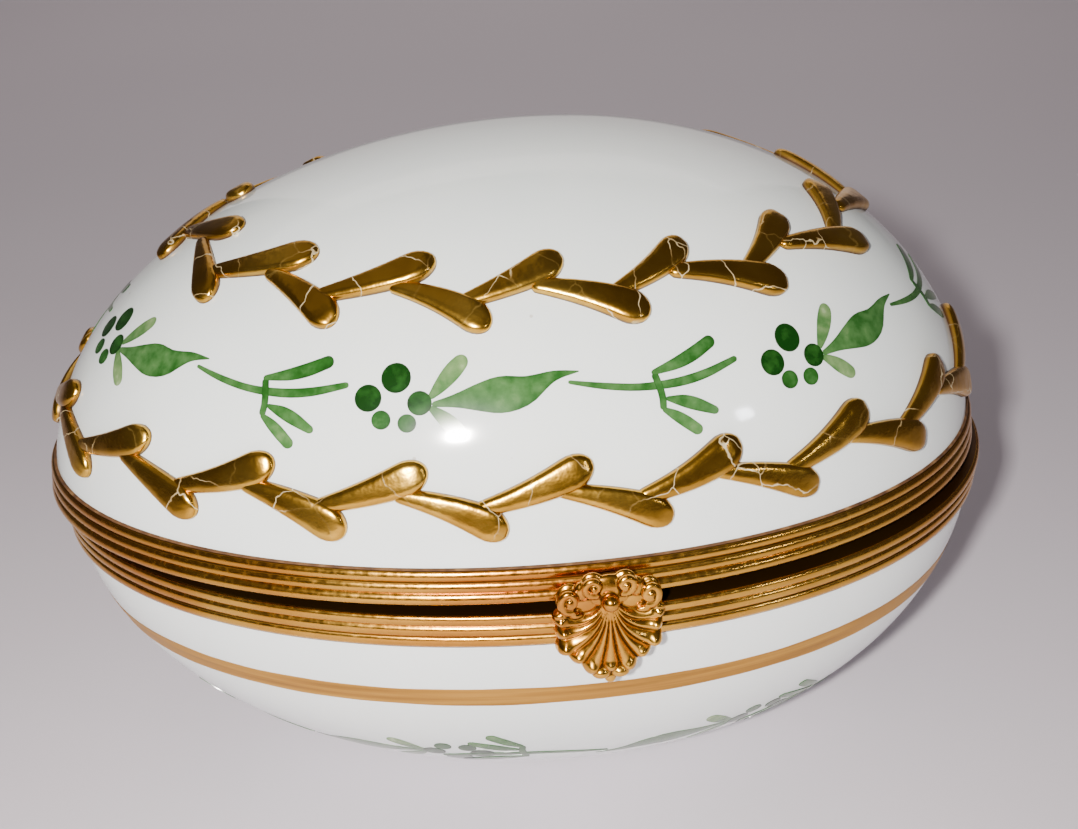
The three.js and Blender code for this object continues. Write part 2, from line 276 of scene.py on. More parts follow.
# Glazed hard-paste porcelain, fired white with a cool cast. The glaze is glassy and a little
# wavy, light sinks in slightly under it, and fine specks show. The bare ring is dull cream.
porcelain, tree, shader, where = new_finish("glazed_porcelain")
clouds = add_node(
    tree, "ShaderNodeTexNoise", {"Vector": where, "Scale": 1 / (22 * mm), "Detail": 3}
)
body_white = add_node(
    tree, "ShaderNodeValToRGB", {"Fac": clouds.outputs["Fac"]},
    stops=[(0.3, "#dfe6e6"), (0.7, "#e8edeb")],
)
specks = add_node(
    tree, "ShaderNodeTexVoronoi", {"Vector": where, "Scale": 1 / (5.5 * mm), "Randomness": 1}
)
speck = add_node(
    tree, "ShaderNodeMapRange",
    {"Value": specks.outputs["Distance"], "From Min": 0.022, "From Max": 0.034,
     "To Min": 0.5, "To Max": 0},
)
speckled = add_node(
    tree, "ShaderNodeMix",
    {0: speck.outputs[0], 6: body_white.outputs["Color"], 7: from_hex("#a79a86")},
    data_type="RGBA",
)
height = add_node(tree, "ShaderNodeSeparateXYZ", {"Vector": where}).outputs["Z"]
bare = add_node(
    tree, "ShaderNodeMapRange",
    {"Value": height, "From Min": 0.12 * mm, "From Max": 0.3 * mm, "To Min": 1, "To Max": 0},
)
grit = add_node(
    tree, "ShaderNodeTexNoise", {"Vector": where, "Scale": 1 / (0.35 * mm), "Detail": 4}
)
bisque = add_node(
    tree, "ShaderNodeValToRGB", {"Fac": grit.outputs["Fac"]},
    stops=[(0.3, "#c9bfae"), (0.7, "#ddd6c8")],
)
skin = add_node(
    tree, "ShaderNodeMix",
    {0: bare.outputs[0], 6: speckled.outputs[2], 7: bisque.outputs["Color"]},
    data_type="RGBA",
)
tree.links.new(skin.outputs[2], shader.inputs["Base Color"])
gloss = add_node(
    tree, "ShaderNodeMapRange",
    {"Value": clouds.outputs["Fac"], "From Min": 0.3, "From Max": 0.7,
     "To Min": 0.05, "To Max": 0.09},
)
dull = add_node(
    tree, "ShaderNodeMix", {0: bare.outputs[0], 2: gloss.outputs[0], 3: 0.78}, data_type="FLOAT"
)
tree.links.new(dull.outputs[0], shader.inputs["Roughness"])
shader.inputs["IOR"].default_value = 1.52
shader.inputs["Subsurface Weight"].default_value = 0.12
shader.inputs["Subsurface Radius"].default_value = (1, 0.95, 0.85)
shader.inputs["Subsurface Scale"].default_value = 1.2 * mm
waves = add_node(tree, "ShaderNodeTexNoise", {"Vector": where, "Scale": 1 / (9 * mm), "Detail": 1})
ripple = add_node(
    tree, "ShaderNodeBump",
    {"Height": waves.outputs["Fac"], "Strength": 0.5, "Distance": 0.08 * mm},
)
tree.links.new(ripple.outputs["Normal"], shader.inputs["Normal"])

give(bowl, porcelain)
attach(bowl, "bowl")
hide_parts("bowl_porcelain")


# ---- Painted gold band on the bowl ----
# A line of matt gold, 1.9 mm wide. It is brushed on over the glaze while the bowl turns on a
# banding wheel, so its edges waver a little, and then fired.

band_top = 8 * mm
band_width = 1.9 * mm
paint = 0.035 * mm


def outline(angles, grow):
    """Places on the egg's plan outline, moved out by grow."""
    turn_x = np.sign(np.cos(angles)) * np.abs(np.cos(angles)) ** (2 / squareness)
    turn_y = np.sign(np.sin(angles)) * np.abs(np.sin(angles)) ** (2 / squareness)
    x = (half_length + grow) * turn_x
    y = (half_width + grow) * turn_y * (1 + blunt * x / half_length)
    return x, y


bpy.ops.mesh.primitive_cylinder_add(
    vertices=256, radius=1, depth=band_width, end_fill_type="NOTHING"
)
band = bpy.context.object
band.name = "painted_gold_band"
bpy.ops.object.mode_set(mode="EDIT")
bpy.ops.mesh.bisect(plane_co=(0, 0, 0), plane_no=(0, 0, 1))
bpy.ops.object.mode_set(mode="OBJECT")
tube = places_of(band)
angles = np.arctan2(tube[:, 1], tube[:, 0])
waver = 0.035 * np.sin(7 * angles + 1) + 0.03 * np.sin(17 * angles)
waver = waver + 0.015 * np.sin(41 * angles + 2)
waver = waver * mm * np.sign(np.round(tube[:, 2], 5) + 1e-9)
x, y = outline(angles, 0)
levels = tube[:, 2] - band_top - band_width / 2 + waver
on_bowl = onto_glaze(bowl_form, np.stack([0.8 * x, 0.8 * y, levels], axis=1), (1, 1, 0))
move_to(band, on_bowl + glaze_normals(bowl_form, on_bowl) * paint)
shape_with(band, "SOLIDIFY", thickness=0.06 * mm, offset=-1)
bpy.ops.object.shade_smooth_by_angle(angle=math.radians(40))
band.select_set(False)
stand_on_bowl(band)

# Matt fired gold: fine gold powder in flux. It is half dull, half metal, with soft streaks
# from the brush that run along the line.
matt_gold, tree, shader, where = new_finish("matt_fired_gold")
drawn_out = add_node(
    tree, "ShaderNodeMapping",
    {"Vector": where, "Scale": (1 / (14 * mm), 1 / (14 * mm), 1 / (0.45 * mm))},
)
streaks = add_node(
    tree, "ShaderNodeTexNoise", {"Vector": drawn_out.outputs[0], "Scale": 1, "Detail": 4}
)
gold_tint = add_node(
    tree, "ShaderNodeValToRGB", {"Fac": streaks.outputs["Fac"]},
    stops=[(0.3, "#94671f"), (0.5, "#ac7a2a"), (0.75, "#c2923c")],
)
tree.links.new(gold_tint.outputs["Color"], shader.inputs["Base Color"])
shader.inputs["Metallic"].default_value = 0.55
powder = add_node(
    tree, "ShaderNodeMapRange",
    {"Value": streaks.outputs["Fac"], "From Min": 0.3, "From Max": 0.7,
     "To Min": 0.36, "To Max": 0.52},
)
tree.links.new(powder.outputs[0], shader.inputs["Roughness"])
brushed = add_node(
    tree, "ShaderNodeBump",
    {"Height": streaks.outputs["Fac"], "Strength": 0.4, "Distance": 0.02 * mm},
)
tree.links.new(brushed.outputs["Normal"], shader.inputs["Normal"])

give(band, matt_gold)
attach(band, "bowl")


# ---- Painted sprigs on the bowl ----
# A wreath of green sprigs: berries, a long leaf, and a twig with small leaves. Each is a few
# strokes of overglaze enamel from a round brush, a few hundredths of a millimetre thick.

berries = [(-0.2, 2.2, 1.25, 0.0), (-2.45, 0.5, 1.12, 0.05), (1.8, 0.13, 1.0, 0.12),
           (-1.3, -1.25, 0.78, 0.22), (0.8, -1.5, 0.75, 0.26)]
leaf_strokes = [
    ([(2.6, 0.5, 0.4), (3.4, 1.4, 1.1), (4.5, 2.7, 1.6), (5.6, 3.9, 1.1)], (0.5, 0.8)),
    ([(2.6, -0.2, 0.4), (3.4, -0.8, 1.0), (4.3, -1.6, 1.4), (5.4, -2.7, 1.0)], (0.55, 0.9)),
    ([(2.8, 0.0, 0.4), (4.6, 0.25, 1.0), (6.3, 0.45, 2.1), (8.3, 0.6, 3.2), (10.2, 0.7, 2.6),
      (11.7, 1.4, 1.45), (12.9, 1.9, 0.8), (14.9, 2.0, 0.1)], (0.5, 0.35)),
]
twig_strokes = [
    ([(13.9, 1.2, 0.3), (17.0, 0.5, 0.6), (20.2, 0.0, 0.62), (24.5, 0.05, 0.85), (28.6, 1.1, 0.5)],
     (0.45, 0.35)),
    ([(21.1, 1.1, 0.6), (21.5, -0.8, 0.6), (21.35, -2.0, 0.55)], (0.28, 0.4)),
    ([(20.9, 1.1, 0.4), (24.0, 1.75, 1.25), (27.0, 3.1, 1.05)], (0.45, 0.2)),
    ([(21.7, -1.1, 0.3), (23.6, -1.65, 1.3), (25.9, -2.9, 0.6)], (0.35, 0.5)),
    ([(21.3, -1.9, 0.35), (22.6, -2.8, 1.05), (24.2, -4.3, 0.9)], (0.4, 0.6)),
]
bowl_sprigs = 7
bowl_sprig_level = 18 * mm
bowl_sprig_start = 135.7 * mm
bowl_sprig_spacing = 28.1 * mm


def eased(stations):
    """A line through stations, its corners cut three times."""
    line = np.array(stations, float)
    for _ in range(3):
        near = line[:-1] * 0.75 + line[1:] * 0.25
        far = line[:-1] * 0.25 + line[1:] * 0.75
        between = np.stack([near, far], axis=1).reshape(-1, line.shape[1])
        line = np.concatenate([line[:1], between, line[-1:]])
    return line


def brush_stroke(stations, tones, lift):
    """A flat stroke through stations of (along, up, width) in millimetres, round at both ends."""
    bpy.ops.mesh.primitive_grid_add(x_subdivisions=30, y_subdivisions=6, size=1)
    stroke = bpy.context.object
    grid = places_of(stroke)
    across = grid[:, 1] * 2
    line = eased(stations)
    run = np.concatenate([[0], np.cumsum(np.linalg.norm(np.diff(line[:, :2], axis=0), axis=1))])
    at = run[-1] * (1 - np.cos(np.pi * (grid[:, 0] + 0.5))) / 2
    ahead = np.stack([np.interp(at + 0.05, run, line[:, axis]) for axis in (0, 1)], axis=1)
    behind = np.stack([np.interp(at - 0.05, run, line[:, axis]) for axis in (0, 1)], axis=1)
    heading = (ahead - behind) / np.linalg.norm(ahead - behind, axis=1, keepdims=True)
    width = np.interp(at, run, line[:, 2])
    to_tip = np.clip(np.minimum(at, run[-1] - at) / (width / 2), 0, 1)
    half = width / 2 * np.sqrt(1 - (1 - to_tip) ** 2)
    flat = np.stack([
        np.interp(at, run, line[:, 0]) - heading[:, 1] * half * across,
        np.interp(at, run, line[:, 1]) + heading[:, 0] * half * across,
        np.full(len(at), lift),
    ], axis=1)
    move_to(stroke, flat * mm)
    tone = stroke.data.attributes.new("tone", "FLOAT", "POINT")
    tone.data.foreach_set("value", np.interp(at, [0, run[-1]], tones))
    edge = stroke.data.attributes.new("edge", "FLOAT", "POINT")
    edge.data.foreach_set("value", np.maximum(np.abs(across), 1 - to_tip))
    bpy.ops.object.mode_set(mode="EDIT")
    bpy.ops.mesh.remove_doubles(threshold=0.001 * mm)
    bpy.ops.object.mode_set(mode="OBJECT")
    return stroke


def joined(name, parts):
    """Joins pieces into one."""
    bpy.ops.object.select_all(action="DESELECT")
    for part in parts:
        part.select_set(True)
    bpy.context.view_layer.objects.active = parts[0]
    bpy.ops.object.join()
    parts[0].name = name
    parts[0].data.name = name
    parts[0].select_set(False)
    return parts[0]


def add_piece(name, shape):
    """A new piece with a mesh or curve."""
    piece = bpy.data.objects.new(name, shape)
    bpy.context.collection.objects.link(piece)
    return piece


def level_line(form, level):
    """A fine closed line round one half at a level, and its length so far from the +X end."""
    x, y = outline(np.linspace(0, 2 * math.pi, 1441), 0)
    rough = np.stack([0.7 * x, 0.7 * y, np.full(len(x), form["side"] * level)], axis=1)
    places = onto_glaze(form, rough, (1, 1, 0))
    run = np.concatenate([[0], np.cumsum(np.linalg.norm(np.diff(places, axis=0), axis=1))])
    return places, run


def along_line(line, runs):
    """The places on a level line after each run from the +X end."""
    places, run = line
    runs = np.mod(runs, run[-1])
    return np.stack([np.interp(runs, run, places[:, axis]) for axis in range(3)], axis=1)


def climb(form, places, climbs):
    """Walks up the glaze from places, in steps short enough to follow its curve."""
    steps = 6
    for _ in range(steps):
        normals = glaze_normals(form, places)
        upward = np.array([0, 0, 1]) - normals * normals[:, 2:]
        upward = upward / np.linalg.norm(upward, axis=1, keepdims=True)
        places = onto_glaze(form, places + upward * climbs[:, None] / steps)
    return places


def paint_sprigs(name, form, level, middles, upside_down):
    """Copies the flat sprig to each middle on a level line, each a little different."""
    line = level_line(form, level)
    copies = []
    for middle in middles:
        copy = add_piece(name, sprig.data.copy())
        flat = places_of(copy)
        turn = math.radians(hand.uniform(-1.5, 1.5)) + (math.pi if upside_down else 0)
        size = hand.uniform(0.97, 1.03)
        along = (flat[:, 0] * math.cos(turn) - flat[:, 1] * math.sin(turn)) * size
        up = (flat[:, 0] * math.sin(turn) + flat[:, 1] * math.cos(turn)) * size
        foot = climb(form, along_line(line, middle + along), up)
        move_to(copy, foot + glaze_normals(form, foot) * flat[:, 2:])
        copies.append(copy)
    wreath = joined(name, copies)
    wreath.select_set(True)
    shape_with(wreath, "SOLIDIFY", thickness=0.07 * mm, offset=-1)
    bpy.ops.object.shade_smooth_by_angle(angle=math.radians(50))
    wreath.select_set(False)
    return wreath


hand = random.Random(5)
strokes = []
for along, up, radius, tone in berries:
    dab = [(along - radius, up, 2 * radius), (along + radius, up, 2 * radius)]
    strokes.append((dab, (tone, tone)))
strokes = leaf_strokes + strokes + twig_strokes
sprig = joined(
    "flat_sprig",
    [brush_stroke(stations, tones, 0.02 + 0.004 * order)
     for order, (stations, tones) in enumerate(strokes)],
)
bowl_middles = [bowl_sprig_start + index * bowl_sprig_spacing for index in range(bowl_sprigs)]
bowl_wreath = paint_sprigs(
    "painted_bowl_sprigs", bowl_form, bowl_sprig_level, bowl_middles, True
)
stand_on_bowl(bowl_wreath)

# Overglaze enamel: ground coloured glass in oil, fired. It is glossy and thin, so the white
# shows through where the brush ran dry, and the colour gathers at the edges of a stroke.
enamel, tree, shader, where = new_finish("green_overglaze_enamel")
tone = add_node(tree, "ShaderNodeAttribute", {}, attribute_name="tone").outputs["Fac"]
edge = add_node(tree, "ShaderNodeAttribute", {}, attribute_name="edge").outputs["Fac"]
washes = add_node(
    tree, "ShaderNodeTexNoise", {"Vector": where, "Scale": 1 / (1.1 * mm), "Detail": 4}
)
uneven = add_node(
    tree, "ShaderNodeMapRange",
    {"Value": washes.outputs["Fac"], "From Min": 0.3, "From Max": 0.7,
     "To Min": -0.16, "To Max": 0.18},
)
thinned = add_node(tree, "ShaderNodeMath", {0: tone, 1: uneven.outputs[0]}, operation="ADD")
gathered = add_node(tree, "ShaderNodeMath", {0: edge, 1: 5.0}, operation="POWER")
pulled = add_node(
    tree, "ShaderNodeMath", {0: gathered.outputs[0], 1: -0.16, 2: thinned.outputs[0]},
    operation="MULTIPLY_ADD",
)
green = add_node(
    tree, "ShaderNodeValToRGB", {"Fac": pulled.outputs[0]},
    stops=[(0, "#0a3007"), (0.25, "#214f1b"), (0.55, "#456c3a"), (0.85, "#6f8b59"), (1, "#98ab80")],
)
tree.links.new(green.outputs["Color"], shader.inputs["Base Color"])
shader.inputs["Roughness"].default_value = 0.16
shader.inputs["IOR"].default_value = 1.52

give(bowl_wreath, enamel)
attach(bowl_wreath, "bowl")


# ---- Bezel on the bowl ----
# A channel of gilt brass that caps the porcelain rim, bedded in cement. It is bent up from
# drawn moulding with three reeds, and its inner skirt grips the inside of the bowl.

reeds = 3
reed_depth = 0.26 * mm
proud_at_meeting = 0.65 * mm
proud_at_porcelain = 0.3 * mm
plate_thickness = 0.6 * mm
rim_gap = 0.25 * mm
skirt_front = 2.75 * mm
skirt_thickness = 0.55 * mm
skirt_depth = 2 * mm
chamfer = 0.1 * mm
steps_round = 288


def turned_round_egg(name, section):
    """Spins a closed section round once, then lays it round the egg's outline.
    The section is a list of (distance outside the outline, height)."""
    mesh = bpy.data.meshes.new(name)
    corners = [(half_length + grow, 0, height) for grow, height in section]
    sides = [(last - 1, last) for last in range(1, len(corners))]
    mesh.from_pydata(corners, sides + [(len(corners) - 1, 0)], [])
    ring = add_piece(name, mesh)
    pick(ring)
    edit_all()
    bpy.ops.mesh.spin(steps=steps_round, angle=2 * math.pi, center=(0, 0, 0), axis=(0, 0, 1))
    bpy.ops.mesh.select_all(action="SELECT")
    bpy.ops.mesh.remove_doubles(threshold=0.002 * mm)
    bpy.ops.mesh.normals_make_consistent(inside=False)
    bpy.ops.object.mode_set(mode="OBJECT")
    round_ring = places_of(ring)
    grow = np.hypot(round_ring[:, 0], round_ring[:, 1]) - half_length
    x, y = outline(np.arctan2(round_ring[:, 1], round_ring[:, 0]), grow)
    move_to(ring, np.stack([x, y, round_ring[:, 2]], axis=1))
    # Faces inside the box get 1.4 here. This later paints them dark brown as painted shade in the
    # gap between the halves.
    inside = ring.data.attributes.new("inside", "FLOAT", "POINT")
    inside.data.foreach_set("value", np.where(grow < 0.2 * mm, 1.4, 0))
    bpy.ops.object.shade_smooth_by_angle(angle=math.radians(50))
    ring.select_set(False)
    return ring


def bezel_section(form):
    """The reeded wall, the flat face where the halves meet, and the inner skirt."""
    height = form["bezel"]
    section = []
    for reed in range(reeds):
        for step in range(8):
            share = (reed + step / 8) / reeds
            proud = proud_at_meeting + (proud_at_porcelain - proud_at_meeting) * share
            swell = math.sin(math.pi * step / 8) ** 0.6
            section.append((proud - reed_depth * (1 - swell), share * height))
    skirt_back = skirt_front + skirt_thickness
    section += [(proud_at_porcelain - reed_depth, height), (-rim_gap, height)]
    section += [(-rim_gap, plate_thickness), (-skirt_front, plate_thickness)]
    section += [(-skirt_front, skirt_depth - chamfer), (-skirt_front - chamfer, skirt_depth)]
    section += [(chamfer - skirt_back, skirt_depth), (-skirt_back, skirt_depth - chamfer)]
    section += [(-skirt_back, chamfer), (chamfer - skirt_back, 0), (0.12 * mm, 0)]
    return [(grow, form["side"] * up) for grow, up in section]


def mark_hollows_and_gap_shade(piece, spread):
    """Stores how hollow the surface is at each vertex, for the dirt that gathers there.
    A bezel's faces inside the box are marked in "inside". They are stored as fully hollow, so
    they take the darkest tarnish colour. That is painted shade on the faces inside the box and in
    the gap between the halves."""
    places = places_of(piece)
    count = len(places)
    ends = np.empty(len(piece.data.edges) * 2, dtype=np.int32)
    piece.data.edges.foreach_get("vertices", ends)
    a, b = ends.reshape(-1, 2).T
    degree = np.bincount(a, minlength=count) + np.bincount(b, minlength=count)

    def around(values):
        return (np.bincount(a, values[b], count) + np.bincount(b, values[a], count)) / degree

    normals = np.empty(count * 3)
    piece.data.vertices.foreach_get("normal", normals)
    middle = np.stack([around(places[:, axis]) for axis in range(3)], axis=1)
    hollow_and_gap_shade = np.sum((middle - places) * normals.reshape(-1, 3), axis=1)
    for _ in range(spread):
        hollow_and_gap_shade = (hollow_and_gap_shade + around(hollow_and_gap_shade)) / 2
    hollow_and_gap_shade = np.clip(hollow_and_gap_shade / np.percentile(np.abs(hollow_and_gap_shade), 96), 0, 1)
    if "inside" in piece.data.attributes:
        inside = np.empty(count)
        piece.data.attributes["inside"].data.foreach_get("value", inside)
        hollow_and_gap_shade = np.maximum(hollow_and_gap_shade, inside)
    attribute = piece.data.attributes.new("hollow_and_gap_shade", "FLOAT", "POINT")
    attribute.data.foreach_set("value", hollow_and_gap_shade)


bowl_bezel = turned_round_egg("bowl_reeded_bezel", bezel_section(bowl_form))
mark_hollows_and_gap_shade(bowl_bezel, 1)
stand_on_bowl(bowl_bezel)

# Gilt brass, drawn and polished. It is a warm yellow metal that mirrors the room, with brown
# tarnish down in the grooves, redder patches where the gilding is thin, and fine scratches.
# The same dark brown on a bezel's faces inside the box is painted shade.
gilt_brass, tree, shader, where = new_finish("gilt_brass")
hollow_and_gap_shade = add_node(tree, "ShaderNodeAttribute", {}, attribute_name="hollow_and_gap_shade").outputs["Fac"]
patches = add_node(
    tree, "ShaderNodeTexNoise", {"Vector": where, "Scale": 1 / (14 * mm), "Detail": 3}
)
metal = add_node(
    tree, "ShaderNodeValToRGB", {"Fac": patches.outputs["Fac"]},
    stops=[(0.35, "#bd7c30"), (0.5, "#cc9237"), (0.68, "#dca946")],
)
crumbs = add_node(
    tree, "ShaderNodeTexNoise", {"Vector": where, "Scale": 1 / (0.5 * mm), "Detail": 5}
)
dirt = add_node(
    tree, "ShaderNodeMath", {0: crumbs.outputs["Fac"], 1: 0.6, 2: -0.22}, operation="MULTIPLY_ADD"
)
dirt_and_gap_shade = add_node(tree, "ShaderNodeMath", {0: hollow_and_gap_shade, 1: dirt.outputs[0]}, operation="ADD")
tarnish_and_gap_shade = add_node(
    tree, "ShaderNodeMapRange",
    {"Value": dirt_and_gap_shade.outputs[0], "From Min": 0.25, "From Max": 0.85, "To Min": 0, "To Max": 0.93},
)
# The dark brown is tarnish in the grooves, and painted shade on a bezel's faces inside the box.
surface = add_node(
    tree, "ShaderNodeMix",
    {0: tarnish_and_gap_shade.outputs[0], 6: metal.outputs["Color"], 7: from_hex("#2e1808")},
    data_type="RGBA",
)
tree.links.new(surface.outputs[2], shader.inputs["Base Color"])
shader.inputs["Metallic"].default_value = 1
polish = add_node(
    tree, "ShaderNodeMapRange",
    {"Value": crumbs.outputs["Fac"], "From Min": 0.3, "From Max": 0.7,
     "To Min": 0.16, "To Max": 0.3},
)
rubbed = add_node(
    tree, "ShaderNodeMix", {0: tarnish_and_gap_shade.outputs[0], 2: polish.outputs[0], 3: 0.6}, data_type="FLOAT"
)
tree.links.new(rubbed.outputs[0], shader.inputs["Roughness"])
handmade = add_node(
    tree, "ShaderNodeTexNoise", {"Vector": where, "Scale": 1 / (1.6 * mm), "Detail": 4}
)
dented = add_node(
    tree, "ShaderNodeBump",
    {"Height": handmade.outputs["Fac"], "Strength": 0.55, "Distance": 0.06 * mm},
)
tree.links.new(dented.outputs["Normal"], shader.inputs["Normal"])

give(bowl_bezel, gilt_brass)
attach(bowl_bezel, "bowl")
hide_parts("bowl_bezel")


# ---- Cement under the bowl's bezel ----
# Plaster cement holds each bezel on its rim. Inside the channel it is the CAD's own ring, and
# a hair of it shows outside as a brown line between the brass and the glaze.


def cement_line(name, form):
    """A thin fillet where the bezel's lip meets the glaze."""
    lip = form["bezel"]
    section = [(-0.3, -0.05), (0.06, -0.02), (0.02, 0.06), (-0.14, 0.13), (-0.4, 0.1)]
    return turned_round_egg(
        name, [(grow * mm, form["side"] * (lip + up * mm)) for grow, up in section]
    )


bowl_line = cement_line("bowl_cement_line", bowl_form)
stand_on_bowl(bowl_line)

# Old plaster cement: chalky and matt, mottled from near-black brown to tan.
cement, tree, shader, where = new_finish("old_plaster_cement")
chalk = add_node(
    tree, "ShaderNodeTexNoise", {"Vector": where, "Scale": 1 / (1.2 * mm), "Detail": 5}
)
brown_mottle = add_node(
    tree, "ShaderNodeValToRGB", {"Fac": chalk.outputs["Fac"]},
    stops=[(0.3, "#3a200c"), (0.55, "#5d3c1c"), (0.8, "#8a6a44")],
)
tree.links.new(brown_mottle.outputs["Color"], shader.inputs["Base Color"])
shader.inputs["Roughness"].default_value = 0.8
crumbly = add_node(
    tree, "ShaderNodeBump", {"Height": chalk.outputs["Fac"], "Strength": 0.6, "Distance": 0.05 * mm}
)
tree.links.new(crumbly.outputs["Normal"], shader.inputs["Normal"])

give(bowl_line, cement)
give(frame["nodes"]["bowl_bedding"], cement)
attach(bowl_line, "bowl")


# ---- Catch peg ----
# A short brass peg soldered into the front of the bowl's bezel. The clasp's back springs over
# its domed end and holds the box shut.

peg_low, peg_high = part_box("catch_peg")
peg_middle = (peg_low + peg_high) / 2
bpy.ops.mesh.primitive_cylinder_add(
    vertices=32, radius=(peg_high.x - peg_low.x) / 2, depth=peg_high.y - peg_low.y,
    rotation=(math.pi / 2, 0, 0), location=peg_middle,
)
peg = bpy.context.object
peg.name = "turned_catch_peg"
bpy.ops.object.transform_apply(location=True, rotation=True, scale=True)
select_faces(peg, lambda middle, normal: normal.y < -0.9)
bpy.ops.mesh.bevel(offset=0.22 * mm, segments=4)
bpy.ops.object.mode_set(mode="OBJECT")
bpy.ops.object.shade_smooth_by_angle(angle=math.radians(40))
peg.select_set(False)
mark_hollows_and_gap_shade(peg, 1)
give(peg, gilt_brass)
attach(peg, "bowl")
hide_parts("catch_peg")


# ---- Porcelain lid ----
# The upper half of the egg, cast and glazed like the bowl but rounder in section. It was set a
# little to the left on its hinge, and it rests a hair open on its clasp.

lid_form = {"side": 1, "height": 30.1 * mm, "fullness": 2.07, "bezel": 3 * mm}
closed_gap = 0.1 * mm
lid_low, lid_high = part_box("lid_bezel")
lid_shift = (lid_low.x + lid_high.x) / 2
lid_joint = next(joint for joint in frame["joints"] if joint["name"] == "lid_hinge")
hinge_line = Vector(lid_joint["pos_m"])
ajar = Matrix.Rotation(math.radians(-lid_joint["range_deg"][0]), 4, Vector(lid_joint["axis"]))
lid_opened = Matrix.Translation(hinge_line) @ ajar @ Matrix.Translation(-hinge_line)


def set_on_lid(piece):
    """Moves a mesh made round the egg's middle to the lid's place, a hair open."""
    closed = Matrix.Translation((lid_shift, 0, meeting + closed_gap))
    piece.data.transform(lid_opened @ closed)


lid = half_egg("porcelain_lid", lid_form)
finish_porcelain(lid, lid_form)
set_on_lid(lid)
give(lid, porcelain)
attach(lid, "lid")
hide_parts("lid_porcelain")


# ---- Painted sprigs on the lid ----
# Six of the same sprigs stand upright round the lid between its two garlands, in the same
# green enamel. Their places are listed, and are a little uneven.

lid_sprig_level = 15.5 * mm
lid_middles = [arc * mm for arc in (4.7, 40.1, 75.5, 110.7, 142.8, 176.3)]
lid_wreath = paint_sprigs("painted_lid_sprigs", lid_form, lid_sprig_level, lid_middles, False)
set_on_lid(lid_wreath)
bpy.data.objects.remove(sprig)
give(lid_wreath, enamel)
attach(lid_wreath, "lid")


# ---- Raised gilt garlands on the lid ----
# Two chains of comma-shaped leaves. Each leaf is trailed on in raised paste about 1 mm high,
# its tail drawn out from the leaf before, then fired, gilded and burnished.

leaf_half_width = 1.45 * mm
leaf_rise = 1.05 * mm
leaf_sag = 0.32 * mm  # how much a leaf bends on its way from tail to tip
garlands = {
    "lid_garland_lower": {"leaves": 36, "length": 8.4, "level": 8.5, "swing": 2.5, "start": 0.0252},
    "lid_garland_upper": {"leaves": 28, "length": 8, "level": 22.4, "swing": 1.95, "start": 0.0257},
}


def trailed_leaf():
    """A leaf laid out flat: x is the share of its length, y goes across and z up, from -1 to 1."""
    bpy.ops.mesh.primitive_uv_sphere_add(segments=32, ring_count=22, radius=1)
    leaf = bpy.context.object
    ball = places_of(leaf)
    share = (1 + ball[:, 2]) / 2
    turn = np.arctan2(ball[:, 1], ball[:, 0])
    club = 0.4 + 0.6 * np.clip(share / 0.8, 0, 1)
    tail_end = np.sqrt(np.clip(share / 0.05, 0, 1))
    round_end = np.sqrt(np.clip(1 - np.clip((share - 0.8) / 0.2, 0, 1) ** 2, 0, 1))
    spread = club * tail_end * round_end
    over = np.clip(np.sin(turn), 0, 1)
    across = np.sign(np.cos(turn)) * np.abs(np.cos(turn)) ** 0.8 * spread
    dish = 1 - 0.13 * np.clip((share - 0.2) / 0.5, 0, 1) * over ** 5
    up = over ** 0.68 * dish * spread ** 0.6
    under = np.sin(turn) < -0.01
    up = np.where(under, -0.12, up)
    across = np.where(under, across * 0.96, across)
    move_to(leaf, np.stack([share, across, up], axis=1))
    # The foot is 1 round the leaf's edge against the glaze. The gold paints shade there.
    foot = leaf.data.attributes.new("foot", "FLOAT", "POINT")
    foot.data.foreach_set("value", 1 - np.clip(over ** 0.68 / 0.75, 0, 1))
    return leaf


def trail_garland(name, leaves, length, level, swing, start):
    """Lays a chain of leaves round the lid, leaning down and up by turns."""
    lean_lines = [level_line(lid_form, (level + side * swing) * mm) for side in (-1, 1)]
    tail_lines = [level_line(lid_form, (level + side * swing * 0.15) * mm) for side in (1, -1)]
    reach = length * mm / level_line(lid_form, level * mm)[1][-1]
    chain = []
    for index in range(leaves):
        side = 1 if index % 2 else -1
        begin = start + index / leaves
        end = begin + reach * hand.uniform(0.97, 1.03)
        tail = along_line(tail_lines[index % 2], np.array([begin * tail_lines[index % 2][1][-1]]))
        tip = along_line(lean_lines[index % 2], np.array([end * lean_lines[index % 2][1][-1]]))
        tail = tail - 0.1 * (tip - tail)
        forward = (tip - tail)[0]
        outward = glaze_normals(lid_form, onto_glaze(lid_form, (tail + tip) / 2))[0]
        upward = np.cross(outward, forward)
        upward = upward / np.linalg.norm(upward)
        copy = add_piece(name, leaf.data.copy())
        flat = places_of(copy)
        width = leaf_half_width * hand.uniform(0.92, 1.06)
        sag = -side * leaf_sag * hand.uniform(0.7, 1.3) * np.sin(np.pi * flat[:, 0])
        across = flat[:, 1] * width + sag
        foot = onto_glaze(lid_form, tail + flat[:, :1] * forward + across[:, None] * upward)
        rise = flat[:, 2:] * leaf_rise * hand.uniform(0.92, 1.08)
        move_to(copy, foot + glaze_normals(lid_form, foot) * rise)
        chain.append(copy)
    garland = joined(name.replace("lid_garland", "gilt_garland"), chain)
    pick(garland)
    edit_all()
    bpy.ops.mesh.remove_doubles(threshold=0.0005 * mm)
    bpy.ops.mesh.normals_make_consistent(inside=False)
    bpy.ops.object.mode_set(mode="OBJECT")
    bpy.ops.object.shade_smooth_by_angle(angle=math.radians(70))
    garland.select_set(False)
    set_on_lid(garland)
    return garland
